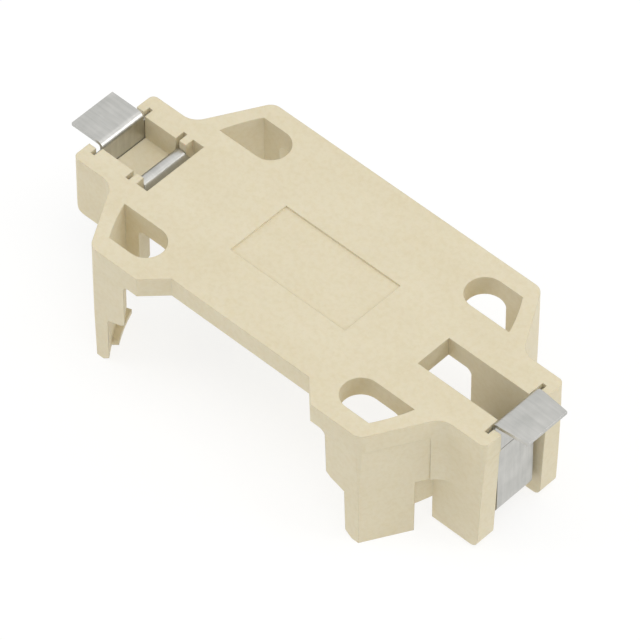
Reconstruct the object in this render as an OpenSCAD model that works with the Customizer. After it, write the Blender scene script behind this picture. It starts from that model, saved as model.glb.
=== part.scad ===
// Surface-mount coin cell holder: one moulded housing with a spring contact at each end.
// It lies with its board side up, on the tips of its four legs, and the cell goes in from below.
// Depths are measured down from the board face.

/* [Cell] */
// Diameter of the coin cell
cell_d = 24.5; // [24:0.1:25]
// Thickness of the coin cell
cell_t = 3.0; // [2.8:0.1:3.4]
// Radial clearance round the cell
cell_clear = 0.22; // [0.15:0.01:0.3]
// Play between the seats and the hooks, over the thickness of the cell
cell_play = 0.5; // [0.3:0.05:0.7]

/* [Plate] */
// Thickness of the plate
plate_t = 1.5; // [1.3:0.05:1.7]
// Width of the body across its legs
body_w = 15.9; // [15.6:0.1:16.2]
// Length of the body without its solder tabs
body_l = 33.46; // [33:0.1:34]
// Angle of the slanted sides from the end of the body
flank_angle = 30; // [29:0.5:31]
// Radius of the corners of the wings
wing_r = 0.8; // [0.5:0.1:1]
// Radius of the necks between the wings and the end blocks
neck_r = 1.3; // [1:0.1:1.5]
// Length of the inset in the near edge, at the edge
inset_l = 14.12; // [13.5:0.1:14.5]
// Depth of that inset, which has ends at 45 degrees
inset_d = 1.47; // [1.2:0.05:1.6]
// Length of the shallow name recess
label_l = 9.3; // [8:0.1:10]
// Width of the name recess
label_w = 4.8; // [4:0.1:5.5]
// Depth of the name recess
label_d = 0.15; // [0.1:0.01:0.2]

/* [Legs] */
// Thickness of the thinnest part of the slanted walls
flank_t = 0.93; // [0.8:0.05:1.1]
// Thickness of the side walls
side_t = 1.28; // [1.1:0.05:1.4]
// Thickness of the webs between the slots and the contacts
web_t = 1.3; // [1.1:0.05:1.4]
// Width of the slots through the plate over the hooks
slot_w = 2.58; // [2.4:0.05:2.8]
// Distance from the middle of the body to the round ends of the slots
slot_x = 7.43; // [7:0.1:7.8]
// Room for the springs between the plate and the seats
spring_room = 3.95; // [3.8:0.05:4.2]
// Width of the ledge that the rim of the cell sits on
seat_w = 1.07; // [0.9:0.01:1.2]
// Fall of the ledge towards the rim of the cell
seat_fall = 0.42; // [0.3:0.01:0.5]
// Width of the bevel along the inner edge of each ledge
seat_edge_w = 0.25; // [0.2:0.01:0.3]
// Height of that bevel
seat_edge_h = 0.3; // [0.2:0.01:0.4]
// Radius under the plate at the free edges of the walls
root_r = 0.45; // [0.3:0.05:0.5]
// Flare of the lead-in for the cell at the leg tips
lead_in = 0.4; // [0.3:0.05:0.5]
// Reach of the hooks under the cell
hook_reach = 0.45; // [0.35:0.05:0.5]
// Height of the hooks
hook_h = 0.85; // [0.75:0.05:1]
// Height of the blunt nose of each hook
hook_nose = 0.35; // [0.25:0.05:0.45]
// Angle at which each leg ends beside its end block
leg_angle = 21; // [20:0.5:22]
// Draft of the outer faces of the legs
leg_draft = 1; // [0.5:0.1:1.2]

/* [End blocks] */
// Width of the end blocks
block_w = 6.94; // [6.8:0.02:7.2]
// Radius of the upright corners of the blocks
block_r = 0.4; // [0.3:0.05:0.6]
// Draft of the end faces of the blocks
end_draft = 2.5; // [1.5:0.1:3]
// Height of the block at the positive end
pos_block_h = 9.5; // [9.3:0.05:9.7]
// Height of the block at the negative end
neg_block_h = 4.65; // [4.4:0.05:4.9]
// Height of the webs, down to the notches beside the legs
web_h = 5.3; // [5.1:0.05:5.4]
// Thickness of the curved guide behind the rim of the cell
guide_t = 0.73; // [0.5:0.01:0.9]
// Height of that guide
guide_h = 7.6; // [7.3:0.1:8]
// Rounding of the lower outer edges of the blocks
foot_r = 0.6; // [0.4:0.05:0.8]
// Reach of the opening over the positive spring inside the rim of the cell
open_reach = 2.97; // [2.8:0.01:3.1]
// Room on each side of the positive spring in its opening
spring_gap = 0.2; // [0.15:0.01:0.3]
// Room on each side of the positive strip in its channel
channel_gap = 0.5; // [0.4:0.05:0.6]
// Depth of the channel in front of the positive strip, below its shoulders
channel_in = 1.1; // [1:0.05:1.2]
// Room on each side of the inner strip in its pocket
pocket_gap = 0.07; // [0.05:0.01:0.1]
// Depth of the pocket between the negative strips
pocket_h = 1.9; // [1.7:0.05:2]
// Thickness of the bridge under the pocket
bridge_t = 0.7; // [0.6:0.05:0.8]
// Bevel of the lower edges of the bridge
bridge_edge = 0.2; // [0.15:0.01:0.25]
// Length of the slot that the fingers leave through
leaf_slot_l = 0.9; // [0.8:0.05:1]
// Width of that slot
leaf_slot_w = 4.9; // [4.7:0.05:5.1]
// Distance from the slot to the rim of the cell
leaf_slot_in = 0.07; // [0.05:0.01:0.2]

/* [Contacts] */
// Thickness of the contact sheet
sheet_t = 0.25; // [0.2:0.01:0.3]
// Inner radius of the bends
bend_r = 0.2; // [0.15:0.01:0.3]
// Distance from the ends of the body to the middle of the outer strips
strip_in = 0.73; // [0.65:0.01:0.8]
// Overall length over the solder tabs
tabs_l = 37; // [36.6:0.1:37.4]
// Height of the solder faces above the plate
tab_rise = 0.3; // [0.28:0.01:0.35]
// Width of the solder tabs at their ends
tab_w = 3.4; // [3.2:0.05:3.6]
// Width of the contacts across their shoulders
shoulder_w = 5; // [4.8:0.05:5.2]
// Depth of the top of the outer shoulders
shoulder_top = 0.35; // [0.3:0.05:0.5]
// Depth of the foot of the shoulders
shoulder_h = 2.4; // [2:0.1:2.5]
// Clearance between the contacts and the housing
fit_clear = 0.03; // [0.02:0.01:0.05]

/* [Positive contact] */
// Width of the solder tab where it leaves the block
pos_root_w = 3.8; // [3.6:0.05:3.9]
// Width of the upright strip
pos_strip_w = 3.1; // [2.9:0.05:3.3]
// Width of the spring that meets the rim of the cell
pos_spring_w = 2.3; // [2:0.05:2.4]
// Depth of the lower bend of the contact
pos_bend_h = 8.2; // [8:0.05:8.4]
// Width of the fold at the foot of the positive contact
pos_fold = 1.05; // [1:0.05:1.2]
// Inner radius of that fold and of the bends in the fingers
spring_r = 0.35; // [0.3:0.01:0.4]
// Distance that the free spring stands into the cell space
pos_push = 0.4; // [0.3:0.05:0.5]
// Depth at which it meets the rim of the cell
bow_h = 7.1; // [7:0.05:7.3]
// Inner radius of the bow that meets the rim
bow_r = 0.6; // [0.5:0.05:0.7]
// Distance that the rounding draws the bow back from its corner
bow_set = 0.3; // [0.25:0.01:0.35]
// Height of the free end over the bow
bow_rise = 2.2; // [2:0.1:2.4]
// Lean of the free end away from the cell
bow_lean = 1.2; // [1:0.1:1.4]

/* [Negative contact] */
// Width of the upright strips
neg_strip_w = 3.5; // [3.3:0.05:3.6]
// Distance between the two upright strips
neg_pitch = 2.9; // [2.8:0.05:3]
// Depth of the top of the inner bend
neg_top = 0.6; // [0.5:0.05:0.7]
// Distance of the shoulders of the inner strip from the top of its bend
inner_shoulder = 0.5; // [0.45:0.01:0.6]
// Length of the flat between the inner bend and the leaf
neg_flat = 0.5; // [0.48:0.01:0.6]
// Fall of the leaf at 45 degrees, until it is past the plate
leaf_drop = 1.6; // [1.5:0.05:1.7]
// Distance from the rim of the cell to the place where the leaf parts
fork_in = 0.55; // [0.5:0.01:0.6]
// Width of the leaf there
fork_w = 4.2; // [4:0.05:4.4]
// Outward lead of each finger, to the middle of the body
finger_run = 1.2; // [1:0.05:1.4]
// Rise of the turned-up finger tips
tip_lift = 0.6; // [0.5:0.05:0.7]
// Depth of the free finger tips, just past the face of the cell
neg_tip = 6.1; // [5.95:0.05:6.2]
// Distance from the middle of the body to the finger tips
tip_x = 2.6; // [2:0.1:3.5]
// Width of each finger at its tip
finger_w = 1.2; // [1:0.05:1.4]

/* [Hidden] */
$fn = 96;
overlap = 0.01;                                // pieces that join reach into each other

cell_r = cell_d / 2 + cell_clear;              // inner radius round the cell
seat_r = cell_r - seat_w;                      // inner edge of the ledges
seat_h = plate_t + spring_room;                // depth of that edge
hook_top = seat_h + cell_t + cell_play;        // depth of the faces that hold the cell
board_z = hook_top + hook_h;                   // the board face over the leg tips
flank_k = cell_r + flank_t;                    // centre to the slanted faces
slot_y = body_w / 2 - side_t - slot_w / 2;     // middle line of the slots
web_in = slot_y - slot_w / 2 - web_t;          // inner face of the webs
end_x = body_l / 2;
far = 2 * body_l;                              // longer than anything here
guide_r = cell_r + guide_t;
hook_root = cell_r + 0.5;                      // the hooks are rooted in the slanted walls
hook_run = cell_r + 0.1;                       // foot of their slope

// The positive contact stands in a channel through the end of its block
sheet_x = end_x - strip_in;                    // middle of the upright sheet
pos_open_w = pos_spring_w + 2 * spring_gap;    // opening over the spring
pos_open_x = cell_r - open_reach;              // its inner end
channel_w = pos_strip_w + 2 * channel_gap;     // channel beside the strip
slit_t = sheet_t + 2 * fit_clear;              // thickness of the slits for the shoulders
slit_w = shoulder_w + 2 * fit_clear;           // their width

// The negative contact is folded round a bridge in its block
neg_in_x = sheet_x - neg_pitch;                // middle of the inner strip
pocket_w = neg_strip_w + 2 * pocket_gap;
leaf_slot_to = cell_r - leaf_slot_in;          // outer end of the slot for the fingers
leaf_slot_from = leaf_slot_to - leaf_slot_l;
slot_over = 1;                                 // the slots end this far over the hooks
block_from = cell_r - 4;                       // the blocks are rooted this far in
root_w = 1;                                    // and the necks this far into them
bay_reach = 3;                                 // its room runs this far into the open bay
fork_x = cell_r - fork_in;
finger_in = fork_w / 2 + finger_run * (1 - tip_x / fork_x) - finger_w;

function unit(v) = v / norm(v);
function polar(r, a) = r * [cos(a), sin(a)];

// Where two straight sides of a body meet, given as [distance, angle of the outward normal]
function meet(a, b) =
    let (d = sin(b[1] - a[1]))
    [(a[0] * sin(b[1]) - b[0] * sin(a[1])) / d, (b[0] * cos(a[1]) - a[0] * cos(b[1])) / d];

// A convex outline with all its corners rounded
module rounded(points, r) {
    n = len(points);
    ways = [for (i = [0:n - 1])
        [unit(points[(i + n - 1) % n] - points[i]), unit(points[(i + 1) % n] - points[i])]];
    halves = [for (w = ways) acos(w[0] * w[1]) / 2];
    polygon([for (i = [0:n - 1]) for (w = ways[i]) points[i] + w * r / tan(halves[i])]);
    for (i = [0:n - 1])
        translate(points[i] + unit(ways[i][0] + ways[i][1]) * r / sin(halves[i]))
            circle(r);
}

// Everything between two depths below the board face
module depth(from, to) {
    translate([0, 0, board_z - to]) linear_extrude(to - from) children();
}

// A rectangle about the middle line, between two places along X
module band(from, to, w) {
    translate([from, -w / 2]) square([to - from, w]);
}

module both_sides() {
    children();
    mirror([0, 1, 0]) children();
}

module four_ways() {
    both_sides() {
        children();
        mirror([1, 0, 0]) children();
    }
}

// ---- Housing ----

// The wings: a long hexagon with the cell's flanks as its slanted sides
module hexagon() {
    side = [body_w / 2, 90];
    flank = [flank_k, flank_angle];
    corner = meet(flank, side);
    apex = [flank_k / cos(flank_angle), 0];
    rounded([corner, [-corner.x, corner.y], -apex, -corner, [corner.x, -corner.y], apex], wing_r);
}

// What the draft takes off the outside of the legs
module leg_draft_cut() {
    four_ways() for (side = [[flank_k, flank_angle], [body_w / 2, 90]])
        rotate([0, 0, side[1]]) translate([side[0], 0, board_z]) rotate([0, leg_draft, 0])
            translate([0, -far / 2, -far / 2]) cube([far / 2, far, far]);
}

// One concave neck between a slanted side and an end block
module neck() {
    centre = meet([flank_k + neck_r, flank_angle], [block_w / 2 + neck_r, 90]);
    difference() {
        polygon([centre, centre - neck_r * polar(1, flank_angle),
            [cell_r, block_w / 2 - root_w], [centre.x, block_w / 2 - root_w],
            [centre.x, block_w / 2]]);
        translate(centre) circle(neck_r);
    }
}

// Plan of one end block, at the +X end
module block_plan() {
    rounded([[end_x, -block_w / 2], [end_x, block_w / 2], [block_from, block_w / 2],
        [block_from, -block_w / 2]], block_r);
}

module end_block(h) {
    difference() {
        depth(0, h) block_plan();
        translate([end_x, 0, board_z]) rotate([0, end_draft, 0])
            translate([0, -far / 2, -far]) cube([far, far, 2 * far]);
        translate([end_x - (h - foot_r) * tan(end_draft), 0, board_z - h]) foot_round();
    }
}

// What rounds a lower edge that runs along Y at the origin
module foot_round() {
    rotate([90, 0, 0]) linear_extrude(far, center = true) difference() {
        translate([-foot_r, -1]) square([foot_r + 2, foot_r + 1]);
        translate([-foot_r, foot_r]) circle(foot_r);
    }
}

module slot_plan() {
    round_x = slot_x + slot_w / 2;
    intersection() {
        union() {
            translate([round_x, slot_y]) circle(d = slot_w);
            translate([round_x, slot_y - slot_w / 2]) square([far, slot_w]);
        }
        circle(cell_r);
    }
}

module inset_plan() {
    half = inset_l / 2;
    past = 1;
    polygon([[-half - past, -body_w / 2 - past], [half + past, -body_w / 2 - past],
        [half - inset_d, inset_d - body_w / 2], [inset_d - half, inset_d - body_w / 2]]);
}

// The space that the cell and the springs under it need, turned round the middle of the cell
module cell_space() {
    lead_z = hook_h / 2 - board_z;
    mouth_r = cell_r + lead_in;
    below = -board_z - 1;
    translate([0, 0, board_z]) rotate_extrude() {
        polygon([[0, -plate_t], [seat_r - root_r, -plate_t], [seat_r, -plate_t - root_r],
            [seat_r, seat_edge_h - seat_h], [seat_r + seat_edge_w, -seat_h],
            [cell_r, -seat_h - seat_fall], [cell_r, lead_z], [mouth_r, -board_z],
            [mouth_r, below], [0, below]]);
        translate([seat_r - root_r, -plate_t - root_r]) circle(root_r);
    }
}

// Plan of one leg before the cell's space is cut: all of the hexagon beyond its web
module leg_plan() {
    intersection() {
        hexagon();
        translate([slot_x - slot_w / 5, web_in]) square(far);
    }
}

// The sector beside an end block where the legs have ended
module leg_end_plan() {
    polygon([[0, 0], [far, 0], polar(far, leg_angle)]);
}

module leg() {
    difference() {
        depth(0, board_z) leg_plan();
        depth(web_h, board_z + 1) leg_end_plan();
    }
}

// A hook turns with the cell's rim, between the web and the side wall of its leg
module hook() {
    intersection() {
        translate([0, 0, board_z]) rotate_extrude()
            polygon([[cell_r - hook_reach, -hook_top], [hook_root, -hook_top],
                [hook_root, -board_z], [hook_run, -board_z],
                [cell_r - hook_reach, -hook_top - hook_nose]]);
        depth(0, board_z) difference() {
            translate([0, slot_y - slot_w]) square([far, slot_w * 1.5 + overlap]);
            leg_end_plan();
        }
    }
}

// The positive block, and the curved guide that joins it to the legs
module positive_end() {
    difference() {
        union() {
            difference() {
                end_block(pos_block_h);
                depth(web_h, board_z + 1) circle(guide_r);
            }
            depth(0, guide_h) intersection() {
                difference() {
                    circle(guide_r);
                    circle(seat_r - 1);
                }
                leg_end_plan_both();
            }
        }
        depth(-1, board_z + 1) band(pos_open_x, sheet_x, pos_open_w);
    }
}

module leg_end_plan_both() {
    both_sides() leg_end_plan();
}

// The negative block is open below, where its contact is pushed in
module negative_end() {
    mirror([1, 0, 0]) end_block(neg_block_h);
}

// A slit for the shoulders of a contact, with its middle at x
module shoulder_slit(x, h) {
    depth(-1, h) band(x - slit_t / 2, x + slit_t / 2, slit_w);
}

// The channel at the outer end of a block, which leaves the sheet bare
module end_channel() {
    depth(-1, board_z + 1) band(sheet_x - slit_t / 2, far, channel_w);
}

module positive_cuts() {
    shoulder_slit(sheet_x, shoulder_h + fit_clear);
    end_channel();
    depth(shoulder_h, board_z + 1) band(sheet_x - channel_in, sheet_x, channel_w);
    depth(-1, plate_t + 1) band(pos_open_x, sheet_x, pos_open_w);
}

module negative_cuts() {
    mirror([1, 0, 0]) {
        for (x = [sheet_x, neg_in_x]) shoulder_slit(x, board_z);
        end_channel();
        // Pocket, and the way over the inner bend to the slot for the fingers
        depth(-1, pocket_h) band(leaf_slot_from, sheet_x, pocket_w);
        depth(-1, pocket_h) band(leaf_slot_from, leaf_slot_to, leaf_slot_w);
        // Room inside the inner strip, open to the bay
        depth(plate_t, board_z) band(leaf_slot_from - bay_reach, neg_in_x + slit_t / 2, 2 * web_in);
        // Room below the bridge
        depth(pocket_h + bridge_t, board_z) band(neg_in_x - channel_gap, sheet_x, slit_w);
        for (x = [sheet_x - slit_t / 2, neg_in_x + slit_t / 2])
            translate([x, 0, board_z - pocket_h - bridge_t]) rotate([0, 45, 0])
                cube([bridge_edge * sqrt(2), shoulder_w, bridge_edge * sqrt(2)], center = true);
    }
}

module housing() {
    color("wheat") difference() {
        union() {
            depth(0, plate_t) {
                hexagon();
                for (turn = [0, 180]) rotate(turn) block_plan();
            }
            depth(0, web_h) four_ways() neck();
            difference() {
                union() {
                    difference() {
                        four_ways() leg();
                        leg_draft_cut();
                    }
                    positive_end();
                    negative_end();
                }
                cell_space();
            }
            four_ways() hook();
        }
        depth(-1, board_z + 1) inset_plan();
        depth(-1, hook_top - slot_over) four_ways() slot_plan();
        depth(-1, label_d) square([label_l, label_w], center = true);
        positive_cuts();
        negative_cuts();
    }
}

// ---- Contacts ----

function across(way) = [-way.y, way.x];

// Gives an outline seen from the side the full width of the holder
module through_y() {
    rotate([90, 0, 0]) linear_extrude(body_w, center = true) children();
}

// A sheet of full width, bent along a path of [x, depth, inner bend radius]
module bent_sheet(path) {
    last = len(path) - 1;
    at = [for (p = path) [p[0], board_z - p[1]]];
    ways = [for (i = [0:last - 1]) unit(at[i + 1] - at[i])];
    before = [for (i = [0:last]) ways[max(i - 1, 0)]];
    after = [for (i = [0:last]) ways[min(i, last - 1)]];
    half = [for (i = [0:last]) acos(min(before[i] * after[i], 1)) / 2];
    edge = [for (i = [0:last]) unit(across(before[i] + after[i])) / cos(half[i])];
    difference() {
        union() {
            through_y() polygon(concat([for (i = [0:last]) at[i] + edge[i] * sheet_t / 2],
                [for (i = [last:-1:0]) at[i] - edge[i] * sheet_t / 2]));
            for (i = [1:last - 1]) through_y() sector(i, 1, path[i][2]);
        }
        for (i = [1:last - 1]) through_y() sector(i, 2, path[i][2] + sheet_t);
    }

    // What lies beyond a radius in the angle of one bend
    module sector(i, reach, r) {
        mid_r = path[i][2] + sheet_t / 2;
        centre = at[i] + edge[i] * mid_r * sign(cross(before[i], after[i]));
        start = at[i] - before[i] * mid_r * tan(half[i]);
        end = at[i] + after[i] * mid_r * tan(half[i]);
        difference() {
            translate(centre) polygon([[0, 0], reach * (start - centre), reach * (at[i] - centre),
                reach * (end - centre)]);
            translate(centre) circle(r);
        }
    }
}

// The solder tab, which narrows from its root to its end
module tab_plan(root_w) {
    root_x = sheet_x + bend_r + sheet_t;
    back_x = sheet_x - sheet_t;
    polygon([[tabs_l / 2, -tab_w / 2], [tabs_l / 2, tab_w / 2], [root_x, root_w / 2],
        [back_x, root_w / 2], [back_x, -root_w / 2], [root_x, -root_w / 2]]);
}

module positive_contact() {
    mid_tab = sheet_t / 2 - tab_rise;
    low = pos_bend_h - sheet_t / 2;
    bow_x = cell_r - pos_push - bow_set;
    color("silver") intersection() {
        bent_sheet([[tabs_l / 2, mid_tab], [sheet_x, mid_tab, bend_r], [sheet_x, low, spring_r],
            [sheet_x - pos_fold, low, spring_r], [bow_x, bow_h, bow_r],
            [bow_x + bow_lean, bow_h - bow_rise]]);
        union() {
            depth(-1, shoulder_h) tab_plan(pos_root_w);
            depth(shoulder_top, shoulder_h) band(sheet_x - sheet_t, far, shoulder_w);
            depth(plate_t, board_z) band(sheet_x - pos_fold, far, pos_strip_w);
            depth(plate_t, board_z) band(0, far, pos_spring_w);
        }
    }
}

// The leaf spreads as it leaves the inner strip, and parts into two fingers
module leaf_plan() {
    difference() {
        polygon([[neg_in_x, -neg_strip_w / 2], [neg_in_x, neg_strip_w / 2],
            [leaf_slot_to, neg_strip_w / 2], [fork_x, fork_w / 2], [0, fork_w / 2 + finger_run],
            [0, -fork_w / 2 - finger_run], [fork_x, -fork_w / 2], [leaf_slot_to, -neg_strip_w / 2]]);
        polygon([[fork_x, 0], [tip_x, -finger_in], [0, -finger_in], [0, finger_in],
            [tip_x, finger_in]]);
    }
}

module negative_contact() {
    mid_tab = sheet_t / 2 - tab_rise;
    low = pocket_h + bridge_t + fit_clear + sheet_t / 2;
    high = neg_top + sheet_t / 2;
    tip = neg_tip - sheet_t / 2;
    leaf_x = neg_in_x - neg_flat;
    color("silver") mirror([1, 0, 0]) intersection() {
        bent_sheet([[tabs_l / 2, mid_tab], [sheet_x, mid_tab, bend_r], [sheet_x, low, bend_r],
            [neg_in_x, low, bend_r], [neg_in_x, high, bend_r], [leaf_x, high, bend_r],
            [leaf_x - leaf_drop, high + leaf_drop, spring_r], [tip_x + tip_lift, tip, spring_r],
            [tip_x, tip - tip_lift]]);
        union() {
            depth(-1, board_z) band(leaf_x, far, neg_strip_w);
            depth(shoulder_top, shoulder_h) band(sheet_x - sheet_t, sheet_x + sheet_t, shoulder_w);
            depth(neg_top + inner_shoulder, shoulder_h)
                band(neg_in_x - sheet_t, neg_in_x + sheet_t, shoulder_w);
            depth(0, board_z) leaf_plan();
        }
    }
}

housing();
positive_contact();
negative_contact();
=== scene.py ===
"""Coin cell holder: a cream liquid crystal polymer moulding with two tinned bronze contacts."""

import math

import bpy
from mathutils import Matrix, Vector


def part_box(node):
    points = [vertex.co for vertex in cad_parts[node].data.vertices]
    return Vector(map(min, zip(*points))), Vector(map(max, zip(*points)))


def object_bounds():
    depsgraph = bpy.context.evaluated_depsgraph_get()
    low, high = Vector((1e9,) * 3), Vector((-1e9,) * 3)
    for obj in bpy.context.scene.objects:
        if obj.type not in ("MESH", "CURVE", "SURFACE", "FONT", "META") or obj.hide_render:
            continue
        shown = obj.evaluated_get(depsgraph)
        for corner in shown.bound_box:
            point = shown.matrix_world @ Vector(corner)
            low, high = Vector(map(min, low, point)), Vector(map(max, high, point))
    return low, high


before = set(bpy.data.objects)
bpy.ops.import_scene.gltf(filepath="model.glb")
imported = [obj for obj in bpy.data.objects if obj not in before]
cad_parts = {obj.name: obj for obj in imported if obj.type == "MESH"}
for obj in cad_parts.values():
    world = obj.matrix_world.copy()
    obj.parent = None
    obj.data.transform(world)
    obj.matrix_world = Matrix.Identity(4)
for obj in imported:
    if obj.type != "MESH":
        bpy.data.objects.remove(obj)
cad_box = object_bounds()

MM = 0.001


# ---- Colour and node helpers ----


def linear(hex_code):
    """An sRGB hex colour as the linear RGBA that shaders take."""
    channels = [int(hex_code[i : i + 2], 16) / 255 for i in (1, 3, 5)]
    return tuple(
        c / 12.92 if c <= 0.04045 else ((c + 0.055) / 1.055) ** 2.4 for c in channels
    ) + (1.0,)


def add(tree, kind, settings=None, inputs=None):
    """A new node with its settings; an input is a plain value or the output socket that feeds it."""
    node = tree.nodes.new(kind)
    for name, value in (settings or {}).items():
        setattr(node, name, value)
    for name, value in (inputs or {}).items():
        if isinstance(value, bpy.types.NodeSocket):
            tree.links.new(value, node.inputs[name])
        else:
            node.inputs[name].default_value = value
    return node


def noise(tree, place, size, detail, roughness):
    """Smooth noise with features of a given size, as a value between 0 and 1."""
    node = add(
        tree, "ShaderNodeTexNoise", None,
        {"Vector": place, "Scale": 1 / size, "Detail": detail, "Roughness": roughness},
    )
    return node.outputs["Fac"]


def stretched(tree, place, scale):
    """The place with each axis scaled; noise on it is drawn out along the axes scaled down."""
    return add(tree, "ShaderNodeMapping", None, {"Vector": place, "Scale": scale}).outputs[0]


def ramp(tree, value, *stops):
    """A colour ramp; each stop is a position and an sRGB hex colour, and positions rise."""
    node = add(tree, "ShaderNodeValToRGB", None, {"Fac": value})
    elements = node.color_ramp.elements
    for index, (position, hex_code) in ((0, stops[0]), (1, stops[-1])):
        elements[index].position = position
        elements[index].color = linear(hex_code)
    for position, hex_code in stops[1:-1]:
        elements.new(position).color = linear(hex_code)
    return node.outputs["Color"]


def multiplied(tree, first, second):
    """One colour tinted by another."""
    node = add(
        tree, "ShaderNodeMix", {"data_type": "RGBA", "blend_type": "MULTIPLY"},
        {"Factor": 1.0, "A": first, "B": second},
    )
    return node.outputs["Result"]


def rounded_edges(tree, radius, samples):
    """Surface directions that shade each sharp edge as if it had a small radius."""
    return add(tree, "ShaderNodeBevel", {"samples": samples}, {"Radius": radius}).outputs[0]


def bump(tree, strength, depth, height, surface):
    """Relief of a given depth on the surface."""
    node = add(
        tree, "ShaderNodeBump", None,
        {"Strength": strength, "Distance": depth, "Height": height, "Normal": surface},
    )
    return node.outputs[0]


def mix_shaders(tree, share, first, second):
    """The first shader with a share of the second."""
    mixed = add(tree, "ShaderNodeMixShader", None, {"Fac": share})
    tree.links.new(first.outputs[0], mixed.inputs[1])
    tree.links.new(second.outputs[0], mixed.inputs[2])
    return mixed


def seen_directly(tree):
    """1 for a ray from the eye, or one that metal or glass sends on, otherwise 0."""
    path = add(tree, "ShaderNodeLightPath")
    first = add(
        tree, "ShaderNodeMath", {"operation": "MAXIMUM"},
        {0: path.outputs["Is Camera Ray"], 1: path.outputs["Is Glossy Ray"]},
    )
    both = add(
        tree, "ShaderNodeMath", {"operation": "MAXIMUM"},
        {0: first.outputs[0], 1: path.outputs["Is Transmission Ray"]},
    )
    return both.outputs[0]


def blank_material(name):
    """A new material and its empty node tree."""
    material = bpy.data.materials.new(name)
    material.use_nodes = True
    material.node_tree.nodes.clear()
    return material, material.node_tree


def send_out(tree, shader, kind="ShaderNodeOutputMaterial"):
    """Make a shader what the tree shows."""
    out = add(tree, kind, None, {"Surface": shader.outputs[0]})
    out.is_active_output = True


# ---- Finishes ----


def moulded_polymer():
    """Glass-filled liquid crystal polymer, injection moulded in a spark-eroded tool.

    The eye gets a matt cream skin, faint flow clouds and a fine even grain.
    """
    cloud_size = 3.2 * MM
    fibre_speck = 0.3 * MM
    grit_size = 0.12 * MM
    grit_depth = 0.006 * MM
    edge_radius = 0.08 * MM
    glow_depth = 0.35 * MM

    material, tree = blank_material("moulded_liquid_crystal_polymer")
    place = add(tree, "ShaderNodeTexCoord").outputs["Object"]

    # Flow clouds, drawn out along the melt's way through the plate
    clouds = noise(tree, stretched(tree, place, (0.45, 1.0, 1.0)), cloud_size, 3.0, 0.55)
    skin = ramp(tree, clouds, (0.3, "#DFD4B6"), (0.7, "#E3D9BD"))

    # Short glass fibres show through the skin as faint specks
    fibres = noise(tree, place, fibre_speck, 2.0, 0.6)
    fibre_tint = ramp(tree, fibres, (0.25, "#FAF8F2"), (0.6, "#FFFFFF"))

    # The eroded tool leaves a fine grit, which also varies the gloss
    grit = noise(tree, place, grit_size, 2.0, 0.7)
    rough = add(
        tree, "ShaderNodeMapRange", None, {"Value": grit, "To Min": 0.5, "To Max": 0.68}
    )

    # Moulded edges are never knife sharp, so they catch the light
    grain = bump(tree, 0.35, grit_depth, grit, rounded_edges(tree, edge_radius, 6))
    shader = add(
        tree, "ShaderNodeBsdfPrincipled", None,
        {
            "Base Color": multiplied(tree, skin, fibre_tint),
            "Roughness": rough.outputs["Result"], "IOR": 1.55, "Normal": grain,
            "Subsurface Weight": 0.12, "Subsurface Scale": glow_depth,
            "Subsurface Radius": (1.0, 0.7, 0.35),
        },
    )
    send_out(tree, shader)
    return material


def tinned_bronze(name, coined_at=None):
    """Phosphor bronze strip, rolled, matt tinned, then stamped and bent.

    The eye gets a satin grey with rolling streaks along the strip, and patches in the tin.
    Where the strip is coined thinner, at a height coined_at, a fine step crosses it, with painted
    shade along its corner.
    """
    streak_width = 0.22 * MM
    streak_depth = 0.004 * MM
    patch_size = 1.1 * MM
    edge_radius = 0.03 * MM

    material, tree = blank_material(name)
    place = add(tree, "ShaderNodeTexCoord").outputs["Object"]

    # Rolling lines run along the strip, which lies in x and z; coarser than real, so that they show
    streaks = noise(tree, stretched(tree, place, (0.06, 1.0, 0.06)), streak_width, 4.0, 0.65)
    # The tin lies in patches
    patches = noise(tree, place, patch_size, 3.0, 0.5)
    blend = add(
        tree, "ShaderNodeMix", {"data_type": "FLOAT"}, {"Factor": 0.5, "A": streaks, "B": patches}
    ).outputs["Result"]
    colour = ramp(tree, blend, (0.35, "#B4B4B0"), (0.65, "#C8C7C3"))
    # Brighter tin is smoother too
    rough = add(
        tree, "ShaderNodeMapRange", None,
        {"Value": blend, "From Min": 0.3, "From Max": 0.7, "To Min": 0.34, "To Max": 0.27},
    )

    surface = rounded_edges(tree, edge_radius, 4)
    # The coined step adds relief, and painted shade along its corner to the colour
    if coined_at is not None:
        surface, colour = coined_step_with_painted_shade(tree, place, coined_at, surface, colour)
    shader = add(
        tree, "ShaderNodeBsdfPrincipled", None,
        {
            "Base Color": colour, "Metallic": 1.0, "Roughness": rough.outputs["Result"],
            "Normal": bump(tree, 0.12, streak_depth, streaks, surface),
        },
    )
    send_out(tree, shader)
    return material


def coined_step_with_painted_shade(tree, place, height, surface, colour):
    """A small step across an upright strip, with painted shade as a dark line in its corner."""
    half_height = 0.05 * MM
    step_depth = 0.03 * MM
    z = add(tree, "ShaderNodeSeparateXYZ", None, {0: place}).outputs["Z"]
    step = add(
        tree, "ShaderNodeMapRange", None,
        {"Value": z, "From Min": height - half_height, "From Max": height + half_height},
    ).outputs["Result"]
    # Painted shade: the colour darkens along the step's corner, where the proud upper part shades it
    corner = ramp(tree, step, (0.0, "#FFFFFF"), (0.4, "#8C8577"), (1.0, "#FFFFFF"))
    return bump(tree, 1.0, step_depth, step, surface), multiplied(tree, colour, corner)


def dress(node, material):
    """Give a CAD piece its finish, and nothing else."""
    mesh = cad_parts[node].data
    mesh.materials.clear()
    mesh.materials.append(material)


# ---- Surroundings ----


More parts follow.
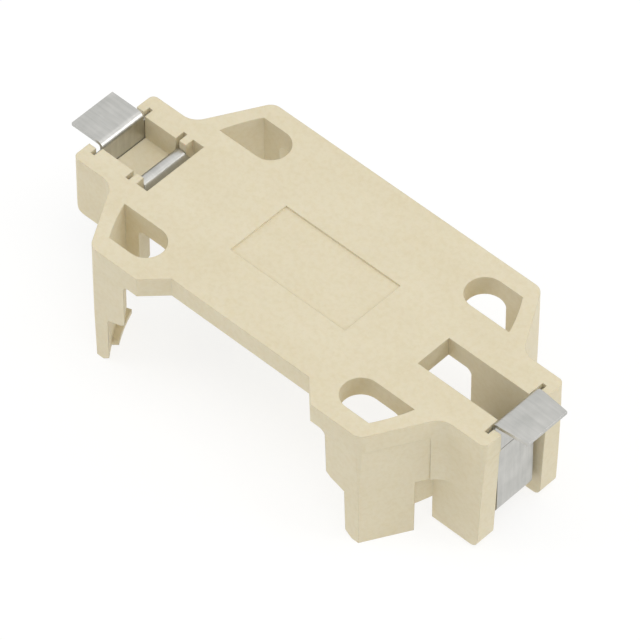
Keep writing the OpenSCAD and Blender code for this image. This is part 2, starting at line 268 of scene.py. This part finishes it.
def studio_paper():
    """A white light table: it lights the part from below, and a soft shadow stays on it."""
    glow = 1.08
    share_lighting_part = 0.6
    share_seen = 0.72

    material, tree = blank_material("white_light_table")
    card = add(
        tree, "ShaderNodeBsdfDiffuse", None, {"Color": linear("#F2F2F0"), "Roughness": 0.0}
    )
    white = add(tree, "ShaderNodeEmission", None, {"Color": linear("#FFFFFF"), "Strength": glow})
    backlit = mix_shaders(tree, share_lighting_part, card, white)
    bright = mix_shaders(tree, share_seen, card, white)
    send_out(tree, mix_shaders(tree, seen_directly(tree), backlit, bright))
    return material


def lay_floor():
    """The light table, at the height of the leg tips."""
    half_side = 1.2
    height = cad_box[0][2]
    corners = ((-1, -1), (1, -1), (1, 1), (-1, 1))
    mesh = bpy.data.meshes.new("floor")
    mesh.from_pydata(
        [(x * half_side, y * half_side, height) for x, y in corners], [], [(0, 1, 2, 3)]
    )
    floor = bpy.data.objects.new("floor", mesh)
    bpy.context.scene.collection.objects.link(floor)
    mesh.materials.append(studio_paper())


def surround_with_white():
    """A white tent: plain white where it is seen, and dimmer as a light on the part."""
    light_on_part = 0.52
    seen = 1.0

    world = bpy.data.worlds.new("white_tent")
    world.use_nodes = True
    tree = world.node_tree
    tree.nodes.clear()
    soft, plain = (
        add(tree, "ShaderNodeBackground", None, {"Color": linear("#FFFFFF"), "Strength": strength})
        for strength in (light_on_part, seen)
    )
    send_out(tree, mix_shaders(tree, seen_directly(tree), soft, plain), "ShaderNodeOutputWorld")
    bpy.context.scene.world = world


def hang_lamp(name, place, aim, side, watts):
    """A square softbox at a place, turned towards a point."""
    data = bpy.data.lights.new(name, "AREA")
    data.shape = "SQUARE"
    data.size = side
    data.energy = watts
    lamp = bpy.data.objects.new(name, data)
    bpy.context.scene.collection.objects.link(lamp)
    lamp.location = place
    lamp.rotation_euler = (Vector(aim) - Vector(place)).to_track_quat("-Z", "Y").to_euler()


def light_studio():
    """One large softbox overhead, and a dimmer one on either side."""
    middle = (0, 0, cad_box[1][2])
    hang_lamp("overhead_softbox", place=(0.10, -0.02, 0.45), aim=middle, side=0.35, watts=0.85)
    hang_lamp("left_softbox", place=(-0.40, -0.30, 0.30), aim=middle, side=0.30, watts=0.45)
    hang_lamp("right_softbox", place=(0.40, 0.25, 0.25), aim=middle, side=0.25, watts=0.4)


def set_camera():
    """A long lens, 412 mm from the board face, looking down on it from the near right corner."""
    turn = math.radians(43.22)
    rise = math.radians(48.89)
    distance = 411.72 * MM
    target = Vector((3.03 * MM, -2.82 * MM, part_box("housing")[1].z))
    back = Vector(
        (math.sin(turn) * math.cos(rise), -math.cos(turn) * math.cos(rise), math.sin(rise))
    )
    data = bpy.data.cameras.new("long_lens")
    data.sensor_width = 36
    data.lens = 393.75
    data.clip_start = 0.01
    data.clip_end = 10
    camera = bpy.data.objects.new("long_lens", data)
    bpy.context.scene.collection.objects.link(camera)
    facing = back.to_track_quat("Z", "Y").to_matrix().to_4x4()
    camera.matrix_world = Matrix.Translation(target + back * distance) @ facing
    bpy.context.scene.camera = camera


# The coined step crosses the positive contact this far below the board face
step_drop = 2.45 * MM
step_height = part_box("housing")[1].z - step_drop

dress("housing", moulded_polymer())
dress("positive_contact", tinned_bronze("matt_tinned_bronze_coined", step_height))
dress("negative_contact", tinned_bronze("matt_tinned_bronze"))

lay_floor()
surround_with_white()
light_studio()
set_camera()
bpy.context.scene.view_settings.view_transform = "Standard"
